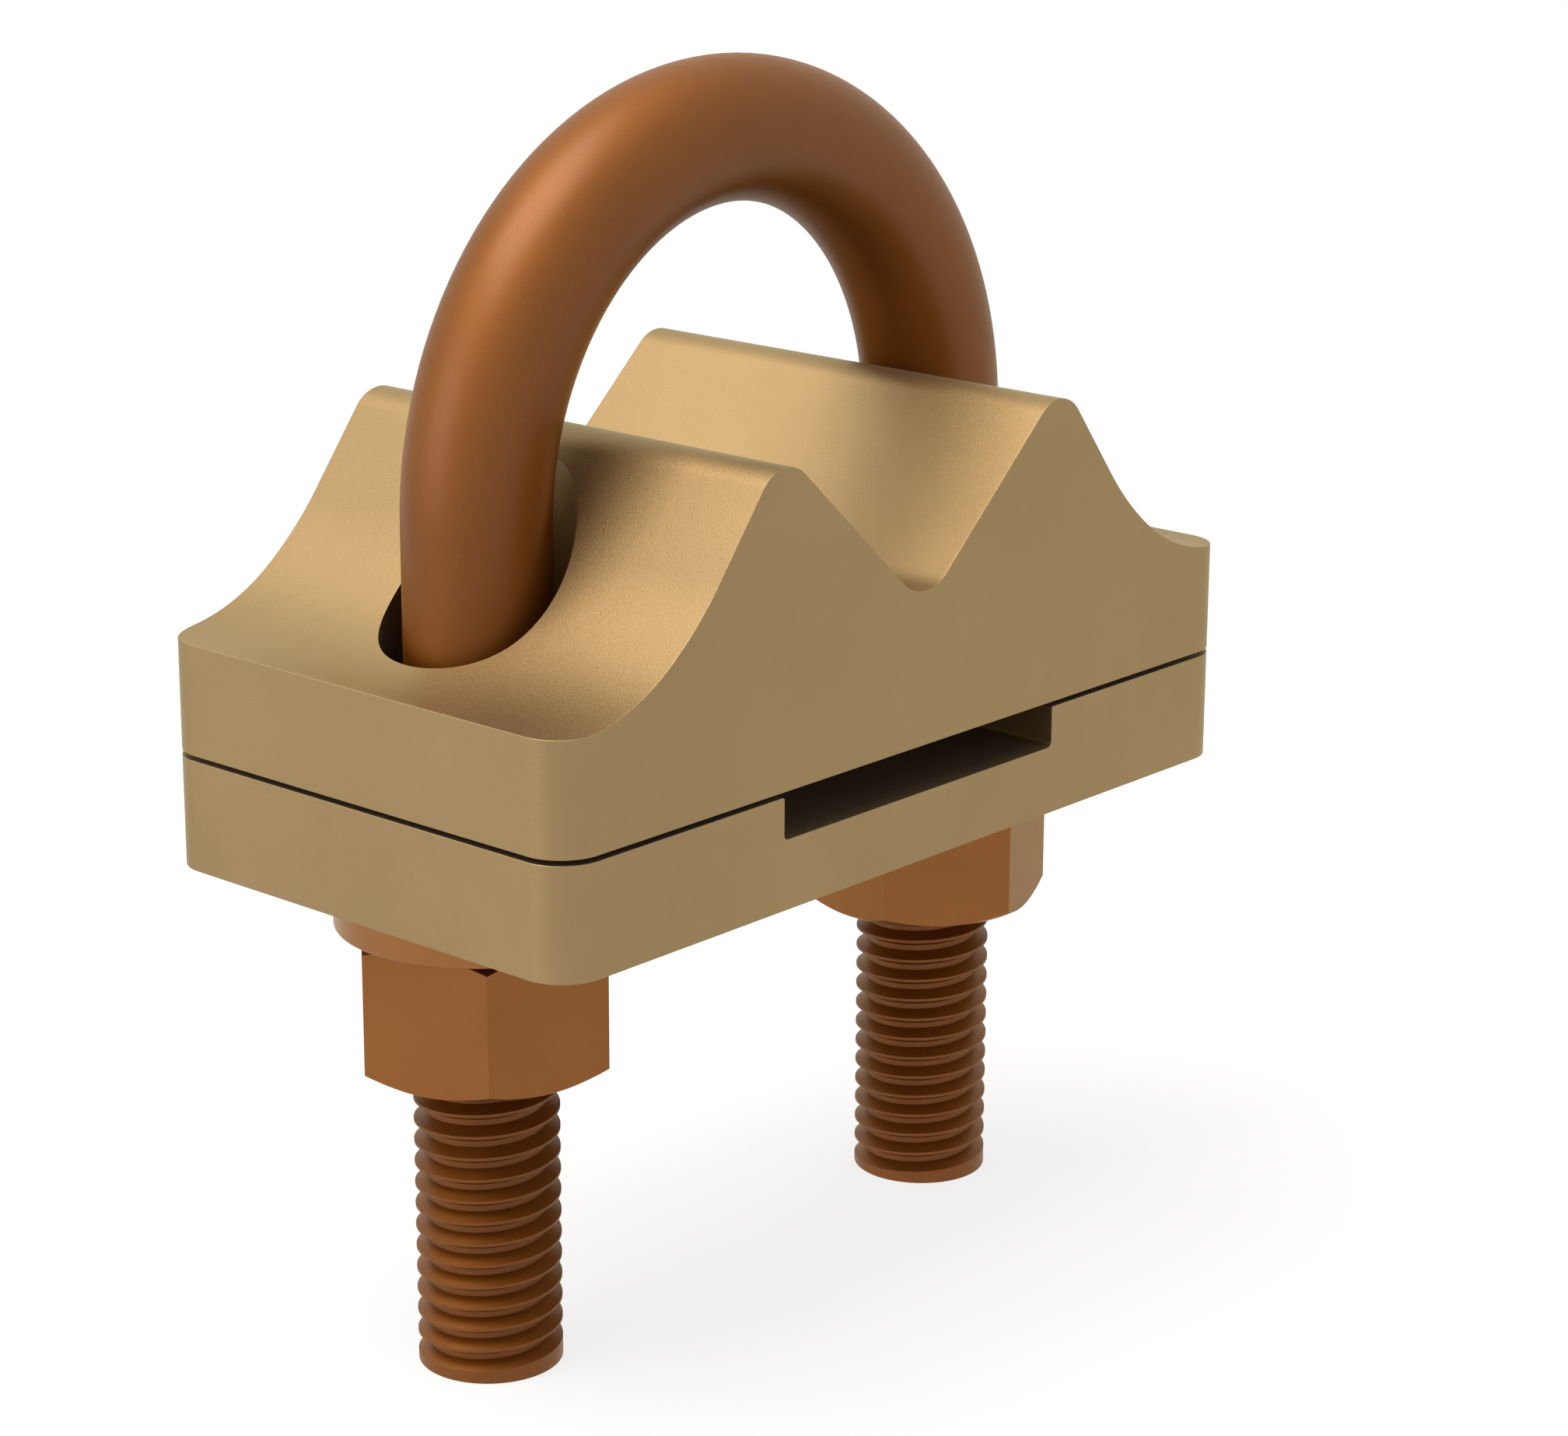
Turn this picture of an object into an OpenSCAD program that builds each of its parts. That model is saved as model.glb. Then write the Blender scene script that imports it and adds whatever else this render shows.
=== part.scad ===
// Earthing clamp: a washer and a nut on each leg of a U-bolt draw a plate and a
// grooved saddle up to its bend. It grips in the round seat between the bend and
// the groove, and in the plate's channel under the saddle.
// Sizes are in millimetres. The origin is on the seat's axis, midway between the
// legs. +X runs from leg to leg, +Y along the groove, +Z up to the bend.

/* [Seat and channel] */
// Diameter of the round seat between the bend and the groove
rod_d = 17.1; // [15.5:0.1:18.5]
// Height of the seat's axis above the saddle's underside
rod_h = 19.3; // [17.5:0.1:22]
// Width of the channel across the lower plate
channel_w = 22.7; // [18:0.1:25]
// Depth of the channel below the top of the lower plate
channel_h = 2.35; // [1:0.05:4]
// Radius along the two bottom corners of the channel
channel_r = 0.3; // [0.1:0.05:0.8]

/* [Castings] */
// Length of both castings, along the line of the legs
body_l = 55.6; // [53:0.1:64]
// Width of both castings, along the groove
body_w = 30.2; // [20:0.1:40]
// Radius of the upright corners of both castings
corner_r = 2.5; // [1:0.1:5]
// Thickness of the lower plate
plate_t = 6.25; // [5:0.05:10]
// Gap between the two castings when the clamp is tightened
casting_gap = 0.28; // [0.1:0.02:2]
// Diameter of the holes that the legs pass through
leg_hole_d = 10.5; // [9.5:0.1:12]

/* [Saddle] */
// Height of the saddle's two flat ends
end_h = 6.2; // [4:0.1:8]
// Height of the two ridges above the saddle's underside
ridge_h = 17.3; // [16:0.1:18]
// Rounding radius of the ridges
ridge_r = 2.2; // [1:0.1:2.8]
// Slope of the groove's walls from the horizontal, in degrees
groove_slope = 42.5; // [38:0.5:46]
// Rounding radius at the bottom of the groove
groove_r = 2.65; // [1:0.05:4]
// Slope of the straight part of each flank, in degrees
flank_slope = 52.5; // [50:0.5:60]
// Radius of the hollow where a flank runs out into its flat end
foot_r = 11.8; // [9:0.1:13]
// Radius of the hollow higher up the flank
sweep_r = 19.3; // [15:0.1:22]
// Slope at which the two hollow radii meet, in degrees
sweep_slope = 36.3; // [25:0.1:45]

/* [U-bolt] */
// Distance between the axes of the two legs
leg_spacing = 37.25; // [35.5:0.05:39.5]
// Diameter of the bar and of its thread's crests
bar_d = 8; // [7:0.1:8.8]
// Length of each leg below the saddle's underside
leg_reach = 34.1; // [28:0.1:45]
// Pitch of the right-hand thread on the legs
thread_pitch = 1.25; // [1:0.05:1.5]
// Depth of the thread
thread_depth = 0.7; // [0.4:0.02:0.8]
// Length of the thread on each leg
thread_length = 30; // [27:0.5:34]
// Width of the plain band between the leg's end and the start of the thread
thread_start = 0.14; // [0.1:0.02:0.5]

/* [Washers and nuts] */
// Outside diameter of the washers
washer_d = 16.1; // [14:0.1:17.5]
// Thickness of the washers
washer_t = 2.05; // [1:0.05:3]
// Clearance all round between a leg and its washer's hole
washer_clearance = 0.2; // [0.1:0.05:0.5]
// Width of the nuts across their flats
nut_flats = 13.05; // [12.5:0.05:14]
// Height of the nuts
nut_h = 8; // [5:0.1:10]
// Slope of the chamfers on the nuts' corners, in degrees
nut_chamfer_slope = 30; // [15:1:35]
// Running clearance all round between a leg and its nut's hole
nut_clearance = 0.05; // [0.02:0.01:0.1]
// Depth of the countersinks at both ends of a nut's hole
nut_countersink = 0.35; // [0.1:0.05:0.6]
// Angle at which the left nut stopped when it was tightened
left_nut_turn = 46.8; // [0:0.1:60]
// Angle at which the right nut stopped when it was tightened
right_nut_turn = 22.2; // [0:0.1:60]

/* [Hidden] */
$fn = 96;
// Length by which a cutter or an outline runs past the face that it makes
past = 1;
// Angle between the points along an outline's arcs
arc_step = 3;
// Angle round the legs at which the thread starts
thread_start_angle = 43.125;

rod_r = rod_d / 2;
leg_x = leg_spacing / 2;

// Undersides of the pieces, worked down from the seat's axis, and the saddle's tops
saddle_z = -rod_h;
plate_z = saddle_z - casting_gap - plate_t;
washer_z = plate_z - washer_t;
nut_z = washer_z - nut_h;
leg_end_z = saddle_z - leg_reach;
end_z = saddle_z + end_h;
ridge_top_z = saddle_z + ridge_h;

// The inside of the bend touches the top of the seat
bend_z = rod_r - (leg_x - bar_d / 2);

// Centre of a ridge's rounding, which is tangent to the groove's wall
ridge_z = ridge_top_z - ridge_r;
ridge_x = (rod_r + ridge_r + ridge_z * cos(groove_slope)) / sin(groove_slope);

// Both walls of the groove are tangent to the seat, and meet in a rounded bottom
groove_z = (groove_r - rod_r) / cos(groove_slope);

// Point on an arc where its tangent has the given slope. A positive radius gives
// the upper side of a round, and a negative one the lower side of a hollow.
function on_arc(centre, r, slope) = centre + r * [-sin(slope), cos(slope)];

// Points along an arc from one slope to another, without the first one
function arc(centre, r, from_slope, to_slope) =
    let (steps = ceil(abs(to_slope - from_slope) / arc_step))
    [for (i = [1 : steps])
        on_arc(centre, r, from_slope + (to_slope - from_slope) * i / steps)];

// Left flank, worked out from the ridge down to the flat end: the straight part
// is tangent to the ridge, and the two hollows are tangent to it and to each other
ridge_centre = [-ridge_x, ridge_z];
ridge_start = on_arc(ridge_centre, ridge_r, flank_slope);
foot_rise = foot_r * (1 - cos(sweep_slope));
sweep_rise = sweep_r * (cos(sweep_slope) - cos(flank_slope));
straight_rise = ridge_start[1] - end_z - foot_rise - sweep_rise;
straight_start = ridge_start - straight_rise * [1 / tan(flank_slope), 1];
sweep_centre = on_arc(straight_start, sweep_r, flank_slope);
sweep_start = on_arc(sweep_centre, -sweep_r, sweep_slope);
foot_centre = on_arc(sweep_start, foot_r, sweep_slope);
groove_centre = [0, groove_z];

// Left half of the saddle's outline, from the flat end to the groove's bottom
left_outline = concat(
    [[-body_l / 2 - past, end_z], on_arc(foot_centre, -foot_r, 0)],
    arc(foot_centre, -foot_r, 0, sweep_slope),
    arc(sweep_centre, -sweep_r, sweep_slope, flank_slope),
    [ridge_start],
    arc(ridge_centre, ridge_r, flank_slope, -groove_slope),
    [on_arc(groove_centre, -groove_r, -groove_slope)],
    arc(groove_centre, -groove_r, -groove_slope, 0)
);
right_outline = [
    for (i = [len(left_outline) - 2 : -1 : 0])
        [-left_outline[i][0], left_outline[i][1]]
];

// The saddle's outline, seen along the groove, run past its ends and its underside
module saddle_outline() {
    polygon(concat(
        [[-body_l / 2 - past, saddle_z - past]],
        left_outline,
        right_outline,
        [[body_l / 2 + past, saddle_z - past]]
    ));
}

// Block with rounded upright corners, standing on z = 0
module rounded_block(height) {
    inner_l = body_l / 2 - corner_r;
    inner_w = body_w / 2 - corner_r;
    linear_extrude(height) {
        square([body_l - 2 * corner_r, body_w], center = true);
        square([body_l, body_w - 2 * corner_r], center = true);
        for (x = [-inner_l, inner_l], y = [-inner_w, inner_w])
            translate([x, y])
                circle(corner_r);
    }
}

// Places its child on the axis of both legs
module at_legs() {
    for (side = [-1, 1])
        translate([side * leg_x, 0, 0])
            children();
}

// Half a turn of the thread's groove, tilted so that its ends lie half a pitch apart
module groove_half_turn() {
    crest_w = thread_pitch / 8;
    root_w = thread_pitch / 4;
    flank_w = (thread_pitch - crest_w - root_w) / 2;
    root_r = bar_d / 2 - thread_depth;
    // The groove runs on a little outside the bar, still clear of the next turn
    mouth_r = bar_d / 2 + thread_depth / flank_w * crest_w / 4;
    mouth_w = thread_pitch - crest_w / 2;
    lead_tilt = atan(thread_pitch / 4 / (bar_d / 2 - thread_depth / 2));
    rotate([0, lead_tilt, 0])
        rotate_extrude(angle = 180)
            polygon([
                [root_r, -root_w / 2],
                [mouth_r, -mouth_w / 2],
                [mouth_r, mouth_w / 2],
                [root_r, root_w / 2]
            ]);
}

// Groove of the thread, standing on z = 0: each half turn meets the one before it
module thread_groove() {
    half_turns = 2 * floor(thread_length / thread_pitch);
    first_z = thread_start + thread_pitch * 7 / 16;
    rotate([0, 0, thread_start_angle])
        for (i = [0 : half_turns - 1])
            translate([0, 0, first_z + (i + 0.5) * thread_pitch / 2])
                rotate([0, 0, 180 * i])
                    groove_half_turn();
}

// Bar bent through half a turn, with two straight threaded legs
module u_bolt() {
    color("peru") {
        translate([0, 0, bend_z])
            rotate([90, 0, 0])
                rotate_extrude(angle = 180)
                    translate([leg_x, 0])
                        circle(d = bar_d);
        at_legs()
            translate([0, 0, leg_end_z])
                difference() {
                    cylinder(d = bar_d, h = bend_z - leg_end_z);
                    thread_groove();
                }
    }
}

// Upper casting: grooved on top, hollowed on both flanks
module saddle() {
    color("tan")
        difference() {
            intersection() {
                rotate([90, 0, 0])
                    linear_extrude(body_w + 2 * past, center = true)
                        saddle_outline();
                translate([0, 0, saddle_z])
                    rounded_block(ridge_h + past);
            }
            at_legs()
                translate([0, 0, saddle_z - past])
                    cylinder(d = leg_hole_d, h = ridge_h + 2 * past);
        }
}

// Section of the channel, standing on its floor at y = 0
module channel_section() {
    mouth_h = channel_h + past;
    translate([-channel_w / 2, channel_r])
        square([channel_w, mouth_h - channel_r]);
    translate([channel_r - channel_w / 2, 0])
        square([channel_w - 2 * channel_r, mouth_h]);
    for (side = [-1, 1])
        translate([side * (channel_w / 2 - channel_r), channel_r])
            circle(channel_r);
}

// Lower casting: flat, with a channel across its top
module lower_plate() {
    color("tan")
        difference() {
            translate([0, 0, plate_z])
                rounded_block(plate_t);
            translate([0, 0, plate_z + plate_t - channel_h])
                rotate([90, 0, 0])
                    linear_extrude(body_w + 2 * past, center = true)
                        channel_section();
            at_legs()
                translate([0, 0, plate_z - past])
                    cylinder(d = leg_hole_d, h = plate_t + 2 * past);
        }
}

// Plain round washer, standing on z = 0
module washer() {
    difference() {
        cylinder(d = washer_d, h = washer_t);
        translate([0, 0, -past])
            cylinder(r = bar_d / 2 + washer_clearance, h = washer_t + 2 * past);
    }
}

// Hexagon nut, standing on z = 0, with both faces chamfered down to its flats
module nut() {
    corner = nut_flats / 2 / cos(30);
    chamfer_h = (corner - nut_flats / 2) * tan(nut_chamfer_slope);
    hole_r = bar_d / 2 + nut_clearance;
    sink_r = hole_r + nut_countersink;
    difference() {
        intersection() {
            cylinder(r = corner, h = nut_h, $fn = 6);
            rotate_extrude()
                polygon([
                    [0, 0],
                    [nut_flats / 2, 0],
                    [corner, chamfer_h],
                    [corner, nut_h - chamfer_h],
                    [nut_flats / 2, nut_h],
                    [0, nut_h]
                ]);
        }
        translate([0, 0, -past])
            cylinder(r = hole_r, h = nut_h + 2 * past);
        cylinder(r1 = sink_r, r2 = hole_r, h = nut_countersink);
        translate([0, 0, nut_h - nut_countersink])
            cylinder(r1 = hole_r, r2 = sink_r, h = nut_countersink);
    }
}

module left_washer() {
    color("chocolate")
        translate([-leg_x, 0, washer_z])
            washer();
}

module right_washer() {
    color("chocolate")
        translate([leg_x, 0, washer_z])
            washer();
}

module left_nut() {
    color("sienna")
        translate([-leg_x, 0, nut_z])
            rotate([0, 0, left_nut_turn])
                nut();
}

module right_nut() {
    color("sienna")
        translate([leg_x, 0, nut_z])
            rotate([0, 0, right_nut_turn])
                nut();
}

u_bolt();
saddle();
lower_plate();
left_washer();
right_washer();
left_nut();
right_nut();
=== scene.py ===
"""Looks of the u-bolt tape clamp: smooth castings, cut threads and satin bronze finishes."""

import math

import bmesh
import bpy
from mathutils import Matrix, Vector, geometry


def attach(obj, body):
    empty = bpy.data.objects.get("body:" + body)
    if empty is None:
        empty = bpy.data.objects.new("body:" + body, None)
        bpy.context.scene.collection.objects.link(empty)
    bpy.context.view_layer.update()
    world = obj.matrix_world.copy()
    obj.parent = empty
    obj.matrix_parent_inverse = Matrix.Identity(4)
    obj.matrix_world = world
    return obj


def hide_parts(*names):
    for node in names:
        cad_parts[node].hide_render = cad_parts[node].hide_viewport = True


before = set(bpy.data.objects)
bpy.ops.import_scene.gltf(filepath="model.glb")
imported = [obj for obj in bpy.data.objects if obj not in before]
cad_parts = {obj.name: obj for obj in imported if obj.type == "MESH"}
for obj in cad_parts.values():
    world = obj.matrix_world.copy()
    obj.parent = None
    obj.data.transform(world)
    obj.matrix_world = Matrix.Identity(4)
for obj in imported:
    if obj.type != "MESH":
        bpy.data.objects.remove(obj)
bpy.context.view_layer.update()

MM = 0.001

# Sizes in millimetres, as the solids have them. The origin is midway between the
# legs, on the axis of the round seat between the bend and the groove.
SEAT_R = 8.55
LEG_X = 18.625
BAR_R = 4.0
LEG_REACH = 34.1
BODY_L = 55.6
BODY_W = 30.2
CORNER_R = 2.5
LEG_HOLE_R = 5.25
SADDLE_Z = -19.3
SADDLE_END_H = 6.2
RIDGE_H = 17.3
CASTING_GAP = 0.28
PLATE_T = 6.25
CHANNEL_W = 22.7
CHANNEL_H = 2.35
CHANNEL_R = 0.3
WASHER_R = 8.05
WASHER_HOLE_R = 4.2
WASHER_T = 2.05
NUT_FLATS = 13.05
NUT_H = 8.0

# The legs, each with its side of the middle along X
SIDES = {"left": -1, "right": 1}

# Slope of the nuts' chamfers, and the angles at which the nuts stopped, in degrees
NUT_CHAMFER = 30
NUT_TURNS = {"left": 46.8, "right": 22.2}

# Countersinks of the nuts: radius of the mouth, depth, and how far a cutter runs past the face
SINK_R = 4.4
SINK_DEPTH = 1.2
SINK_PAST = 0.5

# Heights that follow from the sizes
BEND_Z = SEAT_R + BAR_R - LEG_X
LEG_END_Z = SADDLE_Z - LEG_REACH
SADDLE_END_Z = SADDLE_Z + SADDLE_END_H
PLATE_TOP_Z = SADDLE_Z - CASTING_GAP
PLATE_Z = PLATE_TOP_Z - PLATE_T
WASHER_Z = PLATE_Z - WASHER_T
NUT_Z = WASHER_Z - NUT_H

# Saddle's outline: radii of its arcs, with the slopes in degrees where they meet
RIDGE_R = 2.2
GROOVE_R = 2.65
GROOVE_SLOPE = 42.5
FLANK_SLOPE = 52.5
FOOT_R = 11.8
SWEEP_R = 19.3
SWEEP_SLOPE = 36.3

# Lean of the channel's walls in degrees, which keeps its outline from standing upright
CHANNEL_LEAN = 1

# Broken edges, which the real castings and turned pieces have
CAST_EDGE = 0.035
CHANNEL_EDGE = 0.1
WASHER_EDGE = 0.08
WASHER_PUNCHED_EDGE = 0.128
NUT_CORNER = 0.05
NUT_RIM = 0.02

# Rings of points across a casting's rounded rim, as distances in from its wall
CAST_RIMS = [CAST_EDGE * (1 - math.cos(math.radians(a))) for a in (90, 45, 0)]

# Steps round a full turn, the bend, a nut's face and a quarter of a small edge
ROUND = 96
BEND_STEPS = 72
NUT_FACE_STEPS = 12
EDGE_STEPS = 4

# Degrees from point to point on an outline's hollows, on its ridges and groove, and on small edges
HOLLOW_ARC = 1
RIDGE_ARC = 3
EDGE_ARC = 11

# Faces that meet at more than this, in degrees, have a sharp edge between them
SHARP_ANGLE = 28

# A point that lies this near a ring or a wall counts as on it, in millimetres
RING_SLACK = 0.005
WALL_SLACK = 0.00001
PLAN_SLACK = 0.000001

# Points that are merged when this near, in metres
MESH_WELD = 1e-7
TREE_WELD = 2e-6

# Cut thread on the legs: M8 with a pitch of 1.25 mm
PITCH = 1.25
THREAD_DEPTH = 0.70
THREAD_CREST = 0.16
THREAD_ROOT = 0.3125
THREAD_TURNS = 24
THREAD_START = 0.14
THREAD_START_ANGLE = 43.125
THREAD_PLAY = 0.04

# Turns over which the groove runs in at the bottom and out at the top
THREAD_RUN_IN = 0.08
THREAD_RUN_OUT = 0.5

# Photograph's frame and its camera, in pixels, degrees and millimetres. The camera's
# place counts from the middle of the saddle's underside.
PHOTO_W, PHOTO_H = 2016, 1846
FOCAL = 5109.0
CENTRE_U, CENTRE_V = 927.31, 909.15
AZIMUTH, ELEVATION = -47.737, 16.409
CAMERA_BACK, CAMERA_RIGHT, CAMERA_UP = 224.36, 0.247, -0.801
SENSOR_W = 36

# Nearest and farthest distance that the camera sees, in metres
CAMERA_CLIP = (0.005, 50)


def polar(centre, r, degrees):
    """Point at a distance and an angle from a centre, in a plane."""
    a = math.radians(degrees)
    return centre[0] + r * math.cos(a), centre[1] + r * math.sin(a)


def link(mesh, name):
    """New object for a mesh, with its place in the mesh."""
    piece = bpy.data.objects.new(name, mesh)
    bpy.context.scene.collection.objects.link(piece)
    return piece


def plain_mesh(piece):
    """Replaces a piece's mesh by what its modifiers make of it, and removes them."""
    evaluated = piece.evaluated_get(bpy.context.evaluated_depsgraph_get())
    mesh = bpy.data.meshes.new_from_object(evaluated)
    piece.modifiers.clear()
    piece.data = mesh
    return piece


def closed_outward(mesh):
    """Merges the doubles of a closed shell and turns all its faces outwards."""
    bm = bmesh.new()
    bm.from_mesh(mesh)
    bmesh.ops.remove_doubles(bm, verts=bm.verts, dist=MESH_WELD)
    bmesh.ops.dissolve_degenerate(bm, edges=bm.edges, dist=MESH_WELD)
    bmesh.ops.recalc_face_normals(bm, faces=bm.faces)
    bm.to_mesh(mesh)
    bm.free()


def shell(bm, name):
    """New piece from a closed shell under construction."""
    mesh = bpy.data.meshes.new(name)
    bm.to_mesh(mesh)
    bm.free()
    closed_outward(mesh)
    return link(mesh, name)


def crisp(piece):
    """Smooth faces between sharp edges, with normals that keep flats flat."""
    piece.data.shade_smooth()
    piece.data.set_sharp_from_angle(angle=math.radians(SHARP_ANGLE))
    weighted = piece.modifiers.new("Flat flats", "WEIGHTED_NORMAL")
    weighted.keep_sharp = True
    return plain_mesh(piece)


# Castings

def on_arc(centre, r, slope):
    """Point on an arc where its tangent has the given slope, in degrees."""
    a = math.radians(slope)
    return centre[0] - r * math.sin(a), centre[1] + r * math.cos(a)


def arc(centre, r, start, end, step):
    """Points along an arc from one slope to another."""
    steps = max(2, math.ceil(abs(end - start) / step))
    return [on_arc(centre, r, start + (end - start) * i / steps) for i in range(steps + 1)]


def arc_rise(r, slope, steeper):
    """Height that an arc climbs from one slope to a steeper one."""
    return r * (math.cos(math.radians(slope)) - math.cos(math.radians(steeper)))


def mirrored(half):
    """Whole outline from its left half, which ends on the middle line."""
    return half + [(-x, z) for x, z in reversed(half[:-1])]


def saddle_outline():
    """Top of the saddle from end to end: two hollow flanks, two ridges and the groove."""
    wall = math.radians(GROOVE_SLOPE)
    ridge_z = SADDLE_Z + RIDGE_H - RIDGE_R
    ridge_x = (SEAT_R + RIDGE_R + ridge_z * math.cos(wall)) / math.sin(wall)
    ridge_centre = (-ridge_x, ridge_z)
    groove_centre = (0, (GROOVE_R - SEAT_R) / math.cos(wall))

    # The flank's straight part takes the height that its two hollows leave
    straight_end = on_arc(ridge_centre, RIDGE_R, FLANK_SLOPE)
    hollow_rise = arc_rise(FOOT_R, 0, SWEEP_SLOPE) + arc_rise(SWEEP_R, SWEEP_SLOPE, FLANK_SLOPE)
    straight_rise = straight_end[1] - SADDLE_END_Z - hollow_rise
    straight_run = straight_rise / math.tan(math.radians(FLANK_SLOPE))
    straight_start = (straight_end[0] - straight_run, straight_end[1] - straight_rise)
    sweep_centre = on_arc(straight_start, SWEEP_R, FLANK_SLOPE)
    foot_centre = on_arc(on_arc(sweep_centre, -SWEEP_R, SWEEP_SLOPE), FOOT_R, SWEEP_SLOPE)

    half = [(-BODY_L / 2, SADDLE_END_Z)]
    half += arc(foot_centre, -FOOT_R, 0, SWEEP_SLOPE, HOLLOW_ARC)
    half += arc(sweep_centre, -SWEEP_R, SWEEP_SLOPE, FLANK_SLOPE, HOLLOW_ARC)[1:]
    half += arc(ridge_centre, RIDGE_R, FLANK_SLOPE, -GROOVE_SLOPE, RIDGE_ARC)
    half += arc(groove_centre, -GROOVE_R, -GROOVE_SLOPE, 0, RIDGE_ARC)
    return mirrored(half)


def plate_outline():
    """Top of the lower plate: flat, with a channel that has broken edges."""
    wall = CHANNEL_W / 2
    floor_z = PLATE_TOP_Z - CHANNEL_H
    steepest = 90 - CHANNEL_LEAN
    edge_centre = (-wall - CHANNEL_EDGE, PLATE_TOP_Z - CHANNEL_EDGE)
    corner_centre = (-wall + CHANNEL_R, floor_z + CHANNEL_R)
    half = [(-BODY_L / 2, PLATE_TOP_Z)]
    half += arc(edge_centre, CHANNEL_EDGE, 0, -steepest, EDGE_ARC)
    half += arc(corner_centre, -CHANNEL_R, -steepest, 0, EDGE_ARC)
    half.append((0, floor_z))
    return mirrored(half)


class Outline:
    """An outline with its running length, to look up points and normals on it."""

    def __init__(self, points):
        self.points = points
        self.lengths = [0.0]
        for a, b in zip(points, points[1:]):
            self.lengths.append(self.lengths[-1] + math.dist(a, b))
        faces = [Vector((a[1] - b[1], b[0] - a[0])).normalized() for a, b in zip(points, points[1:])]
        ends = [faces[0]] + faces + [faces[-1]]
        self.normals = [(a + b).normalized() for a, b in zip(ends, ends[1:])]

    def run(self, x):
        """Running length at x."""
        last = len(self.points) - 2
        i = next((k for k in range(last) if x <= self.points[k + 1][0]), last)
        start, end = self.points[i][0], self.points[i + 1][0]
        return self.lengths[i] + (x - start) / (end - start) * (self.lengths[i + 1] - self.lengths[i])

    def at(self, length):
        """Point and normal at a running length."""
        length = min(max(length, 0), self.lengths[-1])
        last = len(self.points) - 2
        i = next((k for k in range(last) if length <= self.lengths[k + 1]), last)
        share = (length - self.lengths[i]) / (self.lengths[i + 1] - self.lengths[i])
        point = Vector(self.points[i]).lerp(Vector(self.points[i + 1]), share)
        return point, self.normals[i].lerp(self.normals[i + 1], share).normalized()


def depth_in_block(x, y):
    """Distance from the block's upright outside, and the way out there."""
    qx = abs(x) - (BODY_L / 2 - CORNER_R)
    qy = abs(y) - (BODY_W / 2 - CORNER_R)
    if qx > 0 and qy > 0:
        way = Vector((math.copysign(qx, x), math.copysign(qy, y), 0))
        return CORNER_R - way.length, way.normalized()
    if qx > qy:
        return CORNER_R - qx, Vector((math.copysign(1, x), 0, 0))
    return CORNER_R - qy, Vector((0, math.copysign(1, y), 0))


def depth_at_hole(x, y):
    """Distance from the nearer leg hole's wall, and the way to its axis."""
    way = Vector((math.copysign(LEG_X, x) - x, -y, 0))
    return way.length - LEG_HOLE_R, way.normalized()


def depth_in_metal(x, y):
    """Distance from the nearest upright wall of a casting, and the way out there."""
    block, hole = depth_in_block(x, y), depth_at_hole(x, y)
    return hole if hole[0] < block[0] else block


def block_ring(inset):
    """Ring round the block, set in from its outside."""
    quarter = ROUND // 4
    ring = []
    for k, (sx, sy) in enumerate(((1, 1), (-1, 1), (-1, -1), (1, -1))):
        centre = (sx * (BODY_L / 2 - CORNER_R), sy * (BODY_W / 2 - CORNER_R))
        angles = [90 * k + 90 * i / quarter for i in range(quarter + 1)]
        ring += [polar(centre, CORNER_R - inset, a) for a in angles]
    return ring


def hole_ring(side, outset):
    """Ring round a leg hole, set out from its wall."""
    angles = [360 * (i + 0.5) / ROUND for i in range(ROUND)]
    return [polar((side * LEG_X, 0), LEG_HOLE_R + outset, a) for a in angles]


def flat_plan(outline):
    """Casting from above with its slopes rolled flat: points and triangles between its rings."""
    points, edges = [], []
    for inset in CAST_RIMS:
        for ring in [block_ring(inset)] + [hole_ring(side, inset) for side in SIDES.values()]:
            first, count = len(points), len(ring)
            points += [Vector((outline.run(x), y)) for x, y in ring]
            edges += [(first + i, first + (i + 1) % count) for i in range(count)]
    for length in outline.lengths[1:-1]:
        edges.append((len(points), len(points) + 1))
        points += [Vector((length, -BODY_W)), Vector((length, BODY_W))]
    # The 0 asks for triangles out to the hull of all points
    plan = geometry.delaunay_2d_cdt(points, edges, [], 0, PLAN_SLACK)
    return plan[0], plan[2]


def rounded(spot, outline, bottom_z):
    """Points on the top and the underside over a spot of the plan, with their normals."""
    point, slope = outline.at(spot.x)
    depth, way = depth_in_metal(point.x, spot.y)
    # A point between two of a ring's corners still belongs to that ring
    nearest = min(CAST_RIMS, key=lambda rim: abs(rim - depth))
    depth = nearest if abs(nearest - depth) < RING_SLACK else depth
    lean = min(max((CAST_EDGE - depth) / CAST_EDGE, 0), 1)
    level = math.sqrt(1 - lean * lean)
    drop = CAST_EDGE * (1 - level)
    top = Vector((point.x, spot.y, point.y - drop)) * MM
    under = Vector((point.x, spot.y, bottom_z + drop)) * MM
    top_normal = (Vector((slope.x, 0, slope.y)) * level + way * lean).normalized()
    under_normal = (Vector((0, 0, -level)) + way * lean).normalized()
    return top, under, top_normal, under_normal


def in_metal(corners, outline):
    """True for a face of the plan that lies in the block and outside both leg holes."""
    middle = sum(corners, Vector((0, 0))) / len(corners)
    point, _ = outline.at(middle.x)
    return depth_in_metal(point.x, middle.y)[0] > -WALL_SLACK


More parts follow.
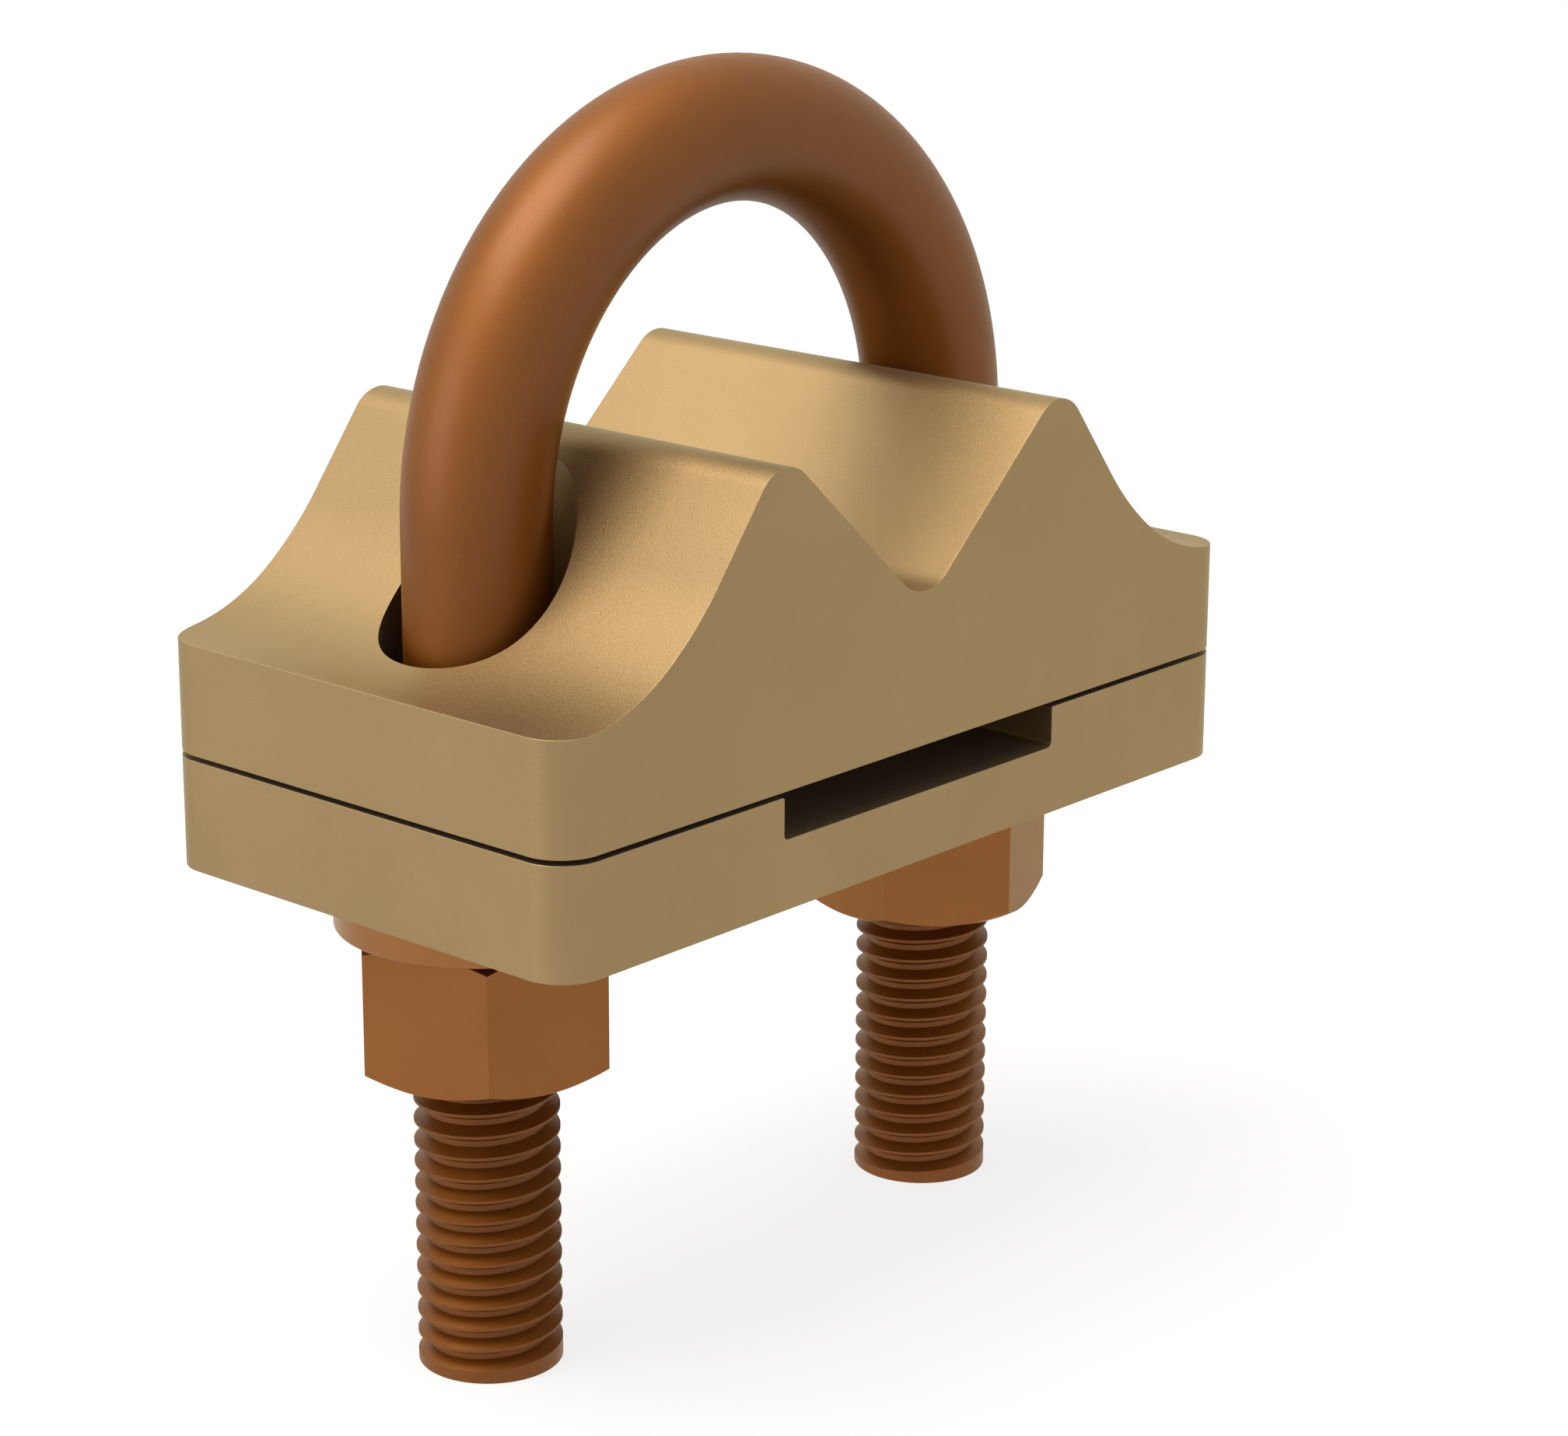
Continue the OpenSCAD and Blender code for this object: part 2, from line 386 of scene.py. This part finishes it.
def casting(name, points, bottom_z):
    """Closed casting under an outline, with leg holes and rounded rims on all its edges."""
    outline = Outline(points)
    spots, faces = flat_plan(outline)
    upper = [tuple(face) for face in faces if in_metal([spots[i] for i in face], outline)]
    sides = dict.fromkeys((a, b) for face in upper for a, b in zip(face, face[1:] + face[:1]))
    rim = [(a, b) for a, b in sides if (b, a) not in sides]
    n = len(spots)
    skin = upper + [tuple(n + i for i in reversed(face)) for face in upper]
    skin += [(b, a, n + a, n + b) for a, b in rim]

    top, under, top_normals, under_normals = zip(*(rounded(spot, outline, bottom_z) for spot in spots))
    coords, normals = top + under, top_normals + under_normals
    used = sorted({i for face in skin for i in face})
    place = {old: new for new, old in enumerate(used)}
    mesh = bpy.data.meshes.new(name)
    mesh.from_pydata([coords[i] for i in used], [], [[place[i] for i in face] for face in skin])
    mesh.validate()
    mesh.shade_smooth()
    mesh.normals_split_custom_set_from_vertices([normals[i] for i in used])
    return link(mesh, name)


# Node trees

class Tree:
    """A node tree under construction, with short calls for its nodes."""

    def __init__(self, tree):
        self.tree = tree

    def fill(self, node, inputs):
        """Fills a node's inputs, by name or number, with values or other nodes' outputs."""
        for label, value in inputs.items():
            if isinstance(value, bpy.types.NodeSocket):
                self.tree.links.new(value, node.inputs[label])
            else:
                node.inputs[label].default_value = value

    def add(self, kind, inputs=None, **settings):
        """New node, with its settings made and its inputs filled."""
        node = self.tree.nodes.new(kind)
        for key, value in settings.items():
            setattr(node, key, value)
        self.fill(node, inputs or {})
        return node

    def math(self, operation, *values):
        """Output of a sum on values or other nodes' outputs."""
        return self.add("ShaderNodeMath", dict(enumerate(values)), operation=operation).outputs[0]


# U-bolt and its thread

class GeometryTree(Tree):
    """A geometry tree under construction, with named inputs."""

    def __init__(self, name, inputs):
        super().__init__(bpy.data.node_groups.new(name, "GeometryNodeTree"))
        face = self.tree.interface
        face.new_socket("Geometry", in_out="OUTPUT", socket_type="NodeSocketGeometry")
        for label, kind in inputs:
            face.new_socket(label, in_out="INPUT", socket_type="NodeSocket" + kind)
        self.inputs = self.add("NodeGroupInput").outputs
        self.output = self.add("NodeGroupOutput")

    def steps(self, columns, rows):
        """A grid, with the column and row of each of its points as counts from 0."""
        wide, high = self.math("SUBTRACT", columns, 1), self.math("SUBTRACT", rows, 1)
        sizes = {"Size X": wide, "Size Y": high, "Vertices X": columns, "Vertices Y": rows}
        grid = self.add("GeometryNodeMeshGrid", sizes)
        position = self.add("GeometryNodeInputPosition").outputs[0]
        place = self.add("ShaderNodeSeparateXYZ", {"Vector": position}).outputs
        column = self.math("ROUND", self.math("MULTIPLY_ADD", wide, 0.5, place["X"]))
        row = self.math("ROUND", self.math("MULTIPLY_ADD", high, 0.5, place["Y"]))
        return grid.outputs["Mesh"], column, row

    def vector(self, **parts):
        """A vector from its parts X, Y and Z, which are 0 where not given."""
        return self.add("ShaderNodeCombineXYZ", parts).outputs[0]

    def placed(self, mesh, x, y, z):
        """Moves a mesh's points to the given coordinates."""
        inputs = {"Geometry": mesh, "Position": self.vector(X=x, Y=y, Z=z)}
        return self.add("GeometryNodeSetPosition", inputs).outputs[0]

    def joined(self, *meshes):
        """One mesh of several, with the points merged where they meet."""
        join = self.add("GeometryNodeJoinGeometry")
        for mesh in meshes:
            self.fill(join, {0: mesh})
        inputs = {"Geometry": join.outputs[0], "Distance": TREE_WELD}
        return self.add("GeometryNodeMergeByDistance", inputs).outputs[0]

    def ramp(self, value, start, end):
        """0 before start, 1 after end, with a smooth change between them."""
        inputs = {"Value": value, "From Min": start, "From Max": end}
        return self.add("ShaderNodeMapRange", inputs, interpolation_type="SMOOTHSTEP").outputs["Result"]


THREAD_INPUTS = [
    ("Radius", "Float"), ("Bottom", "Float"), ("Top", "Float"), ("Pitch", "Float"), ("Depth", "Float"),
    ("Crest", "Float"), ("Root", "Float"), ("Turns", "Int"), ("Start", "Float"), ("Start Angle", "Float"),
    ("Round", "Int"),
]
BAR_INPUTS = THREAD_INPUTS + [("Leg X", "Float"), ("Bend Steps", "Int"), ("Finish", "Material")]


def thread_tree():
    """Tree for a round bar with a right-hand thread cut into its lower end."""
    t = GeometryTree("Cut thread", THREAD_INPUTS)
    i = t.inputs
    # Plain turns below the thread and above it close its ends
    rows_a_turn, plain_turns = 4, 2
    turns = t.math("ADD", i["Turns"], 2 * plain_turns)
    rows = t.math("MULTIPLY_ADD", turns, rows_a_turn, 1)
    mesh, column, row = t.steps(t.math("ADD", i["Round"], 1), rows)
    lap = t.math("DIVIDE", column, i["Round"])
    turn = t.math("SUBTRACT", t.math("FLOOR", t.math("DIVIDE", row, rows_a_turn)), plain_turns)
    corner = t.math("FLOORED_MODULO", row, rows_a_turn)

    # Corners 0 to 3 of one groove, upwards: top of a crest, root, root, underside of the next crest
    both_flanks = t.math("SUBTRACT", t.math("SUBTRACT", i["Pitch"], i["Crest"]), i["Root"])
    flank = t.math("MULTIPLY", both_flanks, 0.5)
    past_flank = t.math("MULTIPLY", t.math("GREATER_THAN", corner, 0.5), flank)
    past_root = t.math("MULTIPLY", t.math("GREATER_THAN", corner, 1.5), i["Root"])
    past_second = t.math("MULTIPLY", t.math("GREATER_THAN", corner, 2.5), flank)
    rise = t.math("ADD", t.math("ADD", past_flank, past_root), past_second)
    at_root = t.math("COMPARE", corner, 1.5, 0.6)

    # The groove starts out of the plain end, and fades out at its top
    laps = t.math("ADD", turn, lap)
    begun = t.ramp(laps, 0.0, THREAD_RUN_IN)
    ended = t.ramp(laps, t.math("SUBTRACT", i["Turns"], THREAD_RUN_OUT), i["Turns"])
    cut_depth = t.math("MULTIPLY", at_root, i["Depth"])
    radius = t.math("SUBTRACT", i["Radius"], t.math("MULTIPLY", cut_depth, t.math("SUBTRACT", begun, ended)))
    angle = t.math("ADD", t.math("MULTIPLY", lap, 2 * math.pi), i["Start Angle"])

    # Plain turns lie flat at the bar's end and over the thread, and the last row reaches the top
    first = t.math("ADD", i["Bottom"], i["Start"])
    thread_top = t.math("MULTIPLY_ADD", t.math("ADD", i["Turns"], 1), i["Pitch"], first)
    height = t.math("ADD", t.math("MULTIPLY_ADD", laps, i["Pitch"], rise), first)
    height = t.math("MINIMUM", t.math("MAXIMUM", height, i["Bottom"]), thread_top)
    last = t.math("GREATER_THAN", row, t.math("SUBTRACT", rows, 1.5))
    height = t.math("MULTIPLY_ADD", last, t.math("SUBTRACT", i["Top"], height), height)
    x = t.math("MULTIPLY", radius, t.math("COSINE", angle))
    y = t.math("MULTIPLY", radius, t.math("SINE", angle))
    wall = t.placed(mesh, x, y, height)

    disc = t.add("GeometryNodeMeshCircle", {"Vertices": i["Round"], "Radius": i["Radius"]}, fill_type="NGON")
    lowered, turned = t.vector(Z=i["Bottom"]), t.vector(Z=i["Start Angle"])
    inputs = {"Geometry": disc.outputs[0], "Translation": lowered, "Rotation": turned}
    end = t.add("GeometryNodeTransform", inputs).outputs[0]
    t.fill(t.output, {0: t.joined(wall, end)})
    return t.tree


def u_bolt_tree(thread):
    """Tree for the bar: a half-turn bend and two threaded legs."""
    t = GeometryTree("U-bolt", BAR_INPUTS)
    i = t.inputs
    leg = t.add("GeometryNodeGroup", node_tree=thread)
    t.fill(leg, {label: i[label] for label, _ in THREAD_INPUTS})
    legs = []
    for side in SIDES.values():
        offset = t.vector(X=t.math("MULTIPLY", i["Leg X"], side))
        moved = t.add("GeometryNodeTransform", {"Geometry": leg.outputs[0], "Translation": offset})
        legs.append(moved.outputs[0])

    # Bend: each column runs along it, and each row is a ring round the bar
    mesh, column, row = t.steps(t.math("ADD", i["Round"], 1), t.math("ADD", i["Bend Steps"], 1))
    round_angle = t.math("MULTIPLY", t.math("DIVIDE", column, i["Round"]), 2 * math.pi)
    round_angle = t.math("ADD", round_angle, i["Start Angle"])
    bend_angle = t.math("MULTIPLY", t.math("DIVIDE", row, i["Bend Steps"]), math.pi)
    reach = t.math("MULTIPLY_ADD", t.math("COSINE", round_angle), i["Radius"], i["Leg X"])
    x = t.math("MULTIPLY", reach, t.math("COSINE", bend_angle))
    y = t.math("MULTIPLY", t.math("SINE", round_angle), i["Radius"])
    z = t.math("MULTIPLY_ADD", reach, t.math("SINE", bend_angle), i["Top"])
    bar = t.joined(*legs, t.placed(mesh, x, y, z))

    real = t.add("GeometryNodeRealizeInstances", {"Geometry": bar})
    finished = t.add("GeometryNodeSetMaterial", {"Geometry": real.outputs[0], "Material": i["Finish"]})
    t.fill(t.output, {0: finished.outputs[0]})
    return t.tree


def thread_values(play=0.0):
    """Inputs of the thread's tree, in metres, with play all round for a nut."""
    return {
        "Radius": (BAR_R + play) * MM,
        "Bottom": LEG_END_Z * MM,
        "Top": BEND_Z * MM,
        "Pitch": PITCH * MM,
        "Depth": THREAD_DEPTH * MM,
        "Crest": (THREAD_CREST + play) * MM,
        "Root": THREAD_ROOT * MM,
        "Turns": THREAD_TURNS,
        "Start": (THREAD_START + play / 2) * MM,
        "Start Angle": math.radians(THREAD_START_ANGLE),
        "Round": ROUND,
    }


def grown(name, tree, values):
    """Piece that a geometry tree makes from the given inputs, as a plain mesh."""
    piece = link(bpy.data.meshes.new(name), name)
    nodes = piece.modifiers.new(name, "NODES")
    nodes.node_group = tree
    for item in tree.interface.items_tree:
        if item.in_out == "INPUT" and item.name in values:
            nodes[item.identifier] = values[item.name]
    return plain_mesh(piece)


def u_bolt(thread, finish):
    """Bent bar with its two threaded legs."""
    values = thread_values()
    values.update({"Leg X": LEG_X * MM, "Bend Steps": BEND_STEPS, "Finish": finish})
    bar = grown("u_bolt_bar", u_bolt_tree(thread), values)
    closed_outward(bar.data)
    return crisp(bar)


# Turned pieces and nuts

def join_rings(bm, rings):
    """Faces all round between each ring of points and the next one."""
    count = len(rings[0])
    for a, b in zip(rings, rings[1:]):
        for k in range(count):
            m = (k + 1) % count
            bm.faces.new((a[k], a[m], b[m], b[k]))


def lathe(profile, x, name):
    """Closed ring turned from a closed section of (radius, height) points."""
    bm = bmesh.new()
    rings = []
    for i in range(ROUND):
        points = [(*polar((x, 0), r, 360 * i / ROUND), z) for r, z in profile]
        rings.append([bm.verts.new(Vector(point) * MM) for point in points])
    join_rings(bm, rings + rings[:1])
    return shell(bm, name)


def washer(name, side):
    """Plain washer with its edges broken, most on the lower outer one, where it was punched."""
    low, high = WASHER_Z, WASHER_Z + WASHER_T
    section = []
    for r, z, edge, start in (
        (WASHER_R - WASHER_PUNCHED_EDGE, low + WASHER_PUNCHED_EDGE, WASHER_PUNCHED_EDGE, -90),
        (WASHER_R - WASHER_EDGE, high - WASHER_EDGE, WASHER_EDGE, 0),
        (WASHER_HOLE_R + WASHER_EDGE, high - WASHER_EDGE, WASHER_EDGE, 90),
        (WASHER_HOLE_R + WASHER_EDGE, low + WASHER_EDGE, WASHER_EDGE, 180),
    ):
        section += [polar((r, z), edge, start + 90 * i / EDGE_STEPS) for i in range(EDGE_STEPS + 1)]
    return crisp(lathe(section, side * LEG_X, name))


def hexagon():
    """Points round the nut's hexagon, with its corners slightly rounded."""
    to_corner = 30
    flat = NUT_FLATS / 2
    corner = (flat - NUT_CORNER) / math.cos(math.radians(to_corner))
    half_face = (flat - NUT_CORNER) * math.tan(math.radians(to_corner))
    points = []
    for start in range(0, 360, 2 * to_corner):
        centre = polar((0, 0), corner, start)
        turns = [to_corner * (2 * i / EDGE_STEPS - 1) for i in range(EDGE_STEPS + 1)]
        points += [polar(centre, NUT_CORNER, start + turn) for turn in turns]
        middle = polar((0, 0), flat, start + to_corner)
        runs = [half_face * (2 * i / NUT_FACE_STEPS - 1) for i in range(1, NUT_FACE_STEPS)]
        points += [polar(middle, run, start + to_corner + 90) for run in runs]
    return points


def nut_body(name, x, turn):
    """Solid hexagon with both faces chamfered down to its flats."""
    flat = NUT_FLATS / 2
    bm = bmesh.new()
    rings = [[], [], [], []]
    for px, py in hexagon():
        way = Vector((px, py, 0))
        way.rotate(Matrix.Rotation(math.radians(turn), 3, "Z"))
        chamfer = max(0, way.length - flat) * math.tan(math.radians(NUT_CHAMFER)) + NUT_RIM
        inner = way.normalized() * (flat - NUT_RIM)
        for ring, at, z in (
            (rings[0], inner, NUT_Z),
            (rings[1], way, NUT_Z + chamfer),
            (rings[2], way, NUT_Z + NUT_H - chamfer),
            (rings[3], inner, NUT_Z + NUT_H),
        ):
            ring.append(bm.verts.new((Vector((x, 0, z)) + at) * MM))
    join_rings(bm, rings)
    bm.faces.new(reversed(rings[0]))
    bm.faces.new(rings[3])
    return shell(bm, name)


def sink_cutter(x, z, r_low, r_high):
    """Closed cone that cuts a countersink, from its lower end upwards."""
    height = SINK_DEPTH + SINK_PAST
    place = Matrix.Translation(Vector((x, 0, z + height / 2)) * MM)
    sizes = {"radius1": r_low * MM, "radius2": r_high * MM, "depth": height * MM}
    bm = bmesh.new()
    bmesh.ops.create_cone(bm, cap_ends=True, segments=ROUND, matrix=place, **sizes)
    return shell(bm, "cutter")


def tap(x, thread):
    """Closed screw that cuts a nut's thread, with play round the leg's."""
    screw = grown("tap", thread, thread_values(THREAD_PLAY))
    bm = bmesh.new()
    bm.from_mesh(screw.data)
    bmesh.ops.holes_fill(bm, edges=[e for e in bm.edges if e.is_boundary], sides=0)
    bmesh.ops.translate(bm, verts=bm.verts, vec=Vector((x * MM, 0, 0)))
    bm.to_mesh(screw.data)
    bm.free()
    closed_outward(screw.data)
    return screw


def cut(piece, *cutters):
    """Cuts closed cutters out of a piece, and removes them."""
    for cutter in cutters:
        boolean = piece.modifiers.new("Cut", "BOOLEAN")
        boolean.operation = "DIFFERENCE"
        boolean.solver = "EXACT"
        boolean.object = cutter
        plain_mesh(piece)
        bpy.data.objects.remove(cutter)
    return piece


def nut(name, side, turn, thread):
    """Hexagon nut with countersunk faces and a thread that runs on the leg's."""
    x = side * LEG_X
    body = nut_body(name, x, turn)
    wide, narrow = SINK_R + SINK_PAST, SINK_R - SINK_DEPTH
    under = sink_cutter(x, NUT_Z - SINK_PAST, wide, narrow)
    over = sink_cutter(x, NUT_Z + NUT_H - SINK_DEPTH, narrow, wide)
    return crisp(cut(body, tap(x, thread), under, over))


# Finishes

# Warm tint of the metals' reflections at a flat angle
EDGE_TINT = (0.80, 0.78, 0.55, 1)

# Roughness of the pale bloom and of the thin clear film on a metal
BLOOM_ROUGHNESS = 0.4
FILM_ROUGHNESS = 0.35

# Size of the metals' fine grain, in millimetres, and how far it changes the roughness
GRAIN = 0.1
GRAIN_GLOSS = 0.05

# Darkest and palest tone in a metal's patches, and the span of noise that they cover
TONES = (0.94, 1.05)
NOISE_SPAN = (0.3, 0.7)


def noise(t, place, size, detail, roughness):
    """Noise with features of the given size in millimetres."""
    inputs = {"Vector": place, "Scale": 1 / (size * MM), "Detail": detail, "Roughness": roughness}
    return t.add("ShaderNodeTexNoise", inputs).outputs["Fac"]


def metal(name, colour, roughness, bloom, film, grain_depth, patch):
    """Satin metal with a bloom, a clear film, a fine grain and patches of tone, in millimetres."""
    material = bpy.data.materials.new(name)
    material.use_nodes = True
    t = Tree(material.node_tree)
    place = t.add("ShaderNodeTexCoord").outputs["Object"]

    slow = noise(t, place, patch, detail=5, roughness=0.6)
    tone = t.add("ShaderNodeValToRGB", {"Fac": slow})
    for stop, position, shade in zip(tone.color_ramp.elements, NOISE_SPAN, TONES):
        stop.position = position
        stop.color = [c * shade for c in colour] + [1]

    fine = noise(t, place, GRAIN, detail=3, roughness=0.55)
    low, high = NOISE_SPAN
    smooth, rough = roughness - GRAIN_GLOSS, roughness + GRAIN_GLOSS
    spans = {"From Min": low, "From Max": high, "To Min": smooth, "To Max": rough}
    gloss = t.add("ShaderNodeMapRange", {"Value": fine, **spans})
    bump = t.add("ShaderNodeBump", {"Height": fine, "Strength": 1.0, "Distance": grain_depth * MM})

    t.fill(material.node_tree.nodes["Principled BSDF"], {
        "Metallic": 1.0,
        "Specular Tint": EDGE_TINT,
        "Sheen Weight": bloom,
        "Sheen Roughness": BLOOM_ROUGHNESS,
        "Coat Weight": film,
        "Coat Roughness": FILM_ROUGHNESS,
        "Base Color": tone.outputs["Color"],
        "Roughness": gloss.outputs["Result"],
        "Normal": bump.outputs["Normal"],
    })
    return material


FINISHES = {
    "cast_bronze": metal(
        "Cast bronze", (0.336, 0.225, 0.103),
        roughness=0.45, bloom=0.05, film=0.25, grain_depth=0.01, patch=12,
    ),
    "copper_bar": metal(
        "Copper bar", (0.213, 0.067, 0.006),
        roughness=0.64, bloom=0.0, film=0.45, grain_depth=0.004, patch=9,
    ),
    "washer_bronze": metal(
        "Washer bronze", (0.318, 0.114, 0.021),
        roughness=0.36, bloom=0.12, film=0.65, grain_depth=0.005, patch=6,
    ),
    "nut_bronze": metal(
        "Nut bronze", (0.272, 0.099, 0.022),
        roughness=0.42, bloom=0.03, film=0.25, grain_depth=0.004, patch=6,
    ),
}


def dress(piece, body, node, finish):
    """Gives a piece its finish and body, and lets it stand for its solid."""
    piece.data.materials.clear()
    piece.data.materials.append(FINISHES[finish])
    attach(piece, body)
    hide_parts(node)


# Studio

WHITE = (1, 1, 1, 1)
FLOOR_COLOUR = (0.9, 0.9, 0.9, 1)
WORLD_LIGHT = 0.6

# Width of the floor in metres, and its distance below the leg ends in millimetres
FLOOR_W = 8
FLOOR_GAP = 0.05

# Share of plain white in the floor at the object, and the distances where it fades to all white
FLOOR_WHITE = 0.8
FLOOR_FADE = (0.12, 0.40)


def background_share(t, seen=1.0):
    """Share of plain white: none for light, all for reflections and glass, a given one for the camera."""
    path = t.add("ShaderNodeLightPath").outputs
    share = t.math("MULTIPLY", path["Is Camera Ray"], seen)
    for label in ("Is Glossy Ray", "Is Transmission Ray"):
        share = t.math("MAXIMUM", share, path[label])
    return share


def mixed(t, share, lit, white):
    """Mix of a lit surface or sky with the plain white background."""
    return t.add("ShaderNodeMixShader", {0: share, 1: lit.outputs[0], 2: white.outputs[0]}).outputs[0]


def pale_floor():
    """Wide pale floor under the leg ends, which fades to white and keeps the shadow."""
    bpy.ops.mesh.primitive_plane_add(size=FLOOR_W, location=(0, 0, (LEG_END_Z - FLOOR_GAP) * MM))
    floor = bpy.context.object
    floor.name = "floor"
    material = bpy.data.materials.new("Pale floor")
    material.use_nodes = True
    material.node_tree.nodes.clear()
    t = Tree(material.node_tree)
    place = t.add("ShaderNodeTexCoord").outputs["Object"]
    distance = t.add("ShaderNodeVectorMath", {0: place}, operation="LENGTH").outputs["Value"]
    near, far = FLOOR_FADE
    spans = {"From Min": near, "From Max": far, "To Min": FLOOR_WHITE, "To Max": 1.0}
    fade = t.add("ShaderNodeMapRange", {"Value": distance, **spans}).outputs["Result"]
    matt = t.add("ShaderNodeBsdfDiffuse", {"Color": FLOOR_COLOUR})
    white = t.add("ShaderNodeEmission", {"Color": WHITE})
    t.add("ShaderNodeOutputMaterial", {"Surface": mixed(t, background_share(t, fade), matt, white)})
    floor.data.materials.append(material)


def white_world():
    """White behind the object, and a soft even light on it."""
    world = bpy.data.worlds.new("Studio")
    world.use_nodes = True
    world.node_tree.nodes.clear()
    t = Tree(world.node_tree)
    light = t.add("ShaderNodeBackground", {"Color": WHITE, "Strength": WORLD_LIGHT})
    white = t.add("ShaderNodeBackground", {"Color": WHITE, "Strength": 1.0})
    t.add("ShaderNodeOutputWorld", {"Surface": mixed(t, background_share(t), light, white)})
    bpy.context.scene.world = world


def lamp(name, way, distance, size, watts, colour):
    """Square soft lamp that looks at the object from the given way."""
    data = bpy.data.lights.new(name, "AREA")
    data.shape = "SQUARE"
    data.size = size
    data.energy = watts
    data.color = colour
    light = bpy.data.objects.new(name, data)
    aim = Vector((0, 0, SADDLE_Z * MM))
    light.location = aim + Vector(way).normalized() * distance
    light.rotation_mode = "QUATERNION"
    light.rotation_quaternion = Vector(way).to_track_quat("Z", "Y")
    bpy.context.scene.collection.objects.link(light)


def photograph_camera():
    """Camera where the photograph's was, with its frame's lens and shift."""
    a, e = math.radians(AZIMUTH), math.radians(ELEVATION)
    back = Vector((math.sin(a) * math.cos(e), -math.cos(a) * math.cos(e), math.sin(e)))
    right = Vector((math.cos(a), math.sin(a), 0))
    up = back.cross(right)
    data = bpy.data.cameras.new("Camera")
    data.sensor_fit = "HORIZONTAL"
    data.sensor_width = SENSOR_W
    data.lens = SENSOR_W * FOCAL / PHOTO_W
    data.shift_x = 0.5 - CENTRE_U / PHOTO_W
    data.shift_y = (CENTRE_V - PHOTO_H / 2) / PHOTO_W
    data.clip_start, data.clip_end = CAMERA_CLIP
    camera = bpy.data.objects.new("Camera", data)
    place = Vector((0, 0, SADDLE_Z)) + back * CAMERA_BACK + right * CAMERA_RIGHT + up * CAMERA_UP
    turn = Matrix((right, up, back)).transposed().to_4x4()
    camera.matrix_world = Matrix.Translation(place * MM) @ turn
    bpy.context.scene.collection.objects.link(camera)
    bpy.context.scene.camera = camera


# The clamp in its studio

thread = thread_tree()
dress(u_bolt(thread, FINISHES["copper_bar"]), "u_bolt", "u_bolt", "copper_bar")
dress(casting("saddle_casting", saddle_outline(), SADDLE_Z), "saddle", "saddle", "cast_bronze")
dress(casting("lower_casting", plate_outline(), PLATE_Z), "lower_plate", "lower_plate", "cast_bronze")
for hand, side in SIDES.items():
    dress(washer(hand + "_round", side), "lower_plate", hand + "_washer", "washer_bronze")
    hexagon_nut = nut(hand + "_hexagon", side, NUT_TURNS[hand], thread)
    dress(hexagon_nut, hand + "_nut", hand + "_nut", "nut_bronze")

pale_floor()
white_world()
lamp("Key", way=(-0.32, 0.14, 0.94), distance=1.0, size=0.8, watts=12.0, colour=(1.0, 0.96, 0.86))
lamp("Fill", way=(-0.88, 0.36, 0.26), distance=1.6, size=1.0, watts=7.6, colour=(1.0, 0.97, 0.93))
photograph_camera()
bpy.context.scene.view_settings.view_transform = "Standard"
